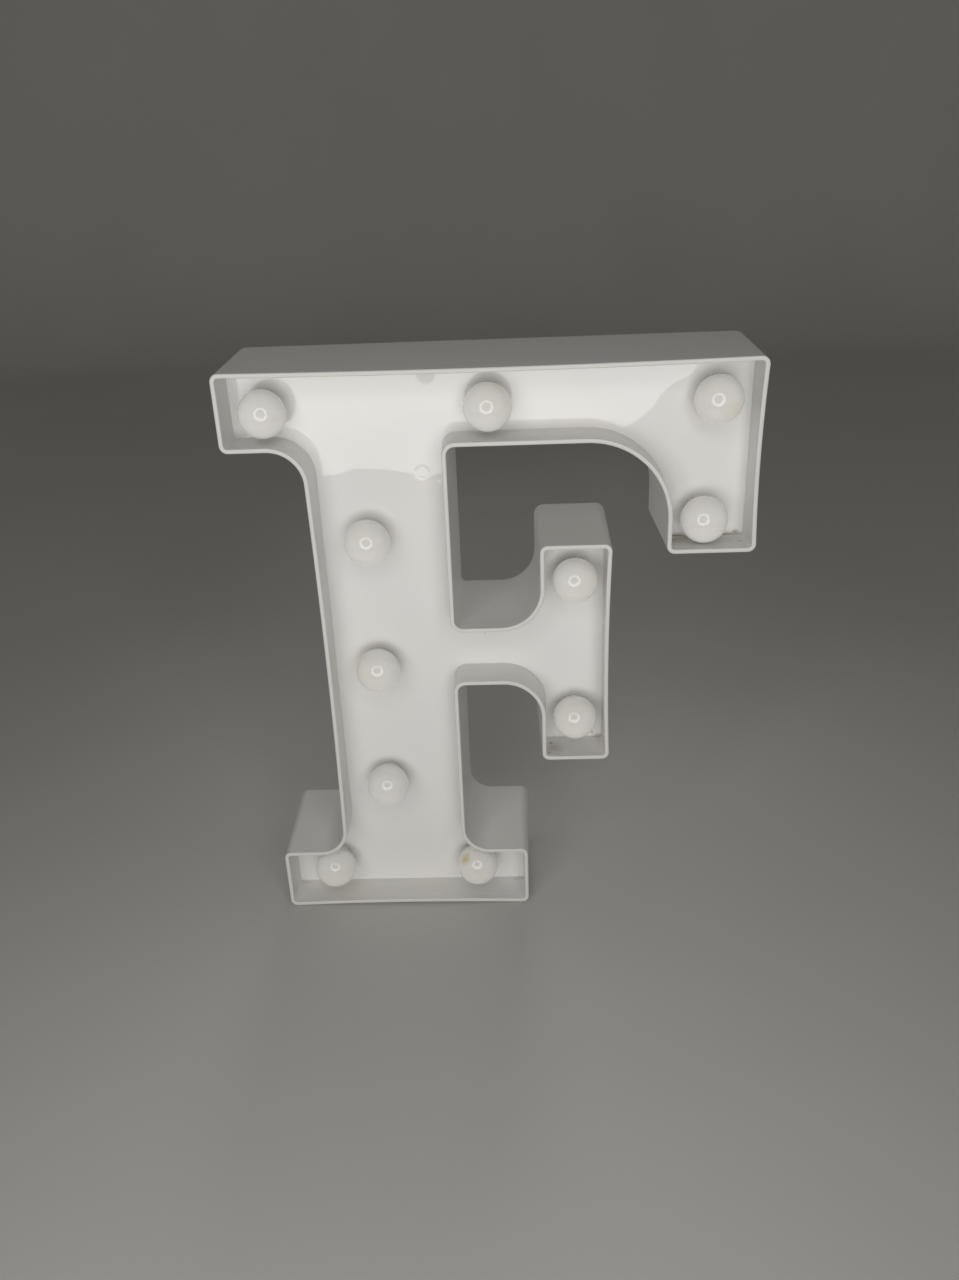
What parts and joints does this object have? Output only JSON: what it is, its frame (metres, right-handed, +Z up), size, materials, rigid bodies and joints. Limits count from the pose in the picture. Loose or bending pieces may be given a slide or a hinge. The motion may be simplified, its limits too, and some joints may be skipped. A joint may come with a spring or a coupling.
{
  "type": "light-up letter",
  "caption": "Standing or hanging light-up letter F: moulded tray with a rim, frosted globe bulbs on its recessed face, back cover with battery door, slide switch and keyhole.",
  "frame": {"origin": "middle of the letter's outer box, on the surface it stands on", "axes": "+X to the right as the letter is read, +Z up, -Y out of the front"},
  "size_m": [0.186, 0.0472, 0.221],
  "materials": {
    "shell": "glossy moulded white",
    "cover": "fine moulded texture, white",
    "door": "fine moulded texture, white",
    "bulb": "frosted satin, warm white",
    "led": "clear warm lens",
    "cell": "plain printed sleeve",
    "contact": "nickel plated",
    "switch_can": "plated",
    "pins": "tinned",
    "slider": "satin black",
    "wire_red": "satin insulation",
    "wire_black": "satin insulation",
    "screw": "zinc plated"
  },
  "bodies": {
    "letter": {"front_shell": "shell", "back_cover": "cover", "cell_left": "cell", "cell_right": "cell", "contact_plus": "contact", "contact_minus": "contact", "contact_bridge": "contact", "switch_can": "switch_can", "switch_pins": "pins", "wire_plus": "wire_red", "wire_minus": "wire_black", "wire_switch": "wire_red", "cover_screws": "screw", "bulb_01": "bulb", "bulb_02": "bulb", "bulb_03": "bulb", "bulb_04": "bulb", "bulb_05": "bulb", "bulb_06": "bulb", "bulb_07": "bulb", "bulb_08": "bulb", "bulb_09": "bulb", "bulb_10": "bulb", "bulb_11": "bulb", "led_01": "led", "led_02": "led", "led_03": "led", "led_04": "led", "led_05": "led", "led_06": "led", "led_07": "led", "led_08": "led", "led_09": "led", "led_10": "led", "led_11": "led"},
    "door": {"battery_door": "door"},
    "slider": {"switch_slider": "slider"}
  },
  "joints": [
    {"name": "door_swing", "type": "hinge", "parent": "letter", "child": "door", "pos_m": [-0.0397, 0.02275, 0.0569], "axis": [-1, 0, 0], "range_deg": [0, 90]},
    {"name": "switch_slide", "type": "slide", "parent": "letter", "child": "slider", "axis": [1, 0, 0], "range_m": [-0.0015, 0.0015]}
  ]
}
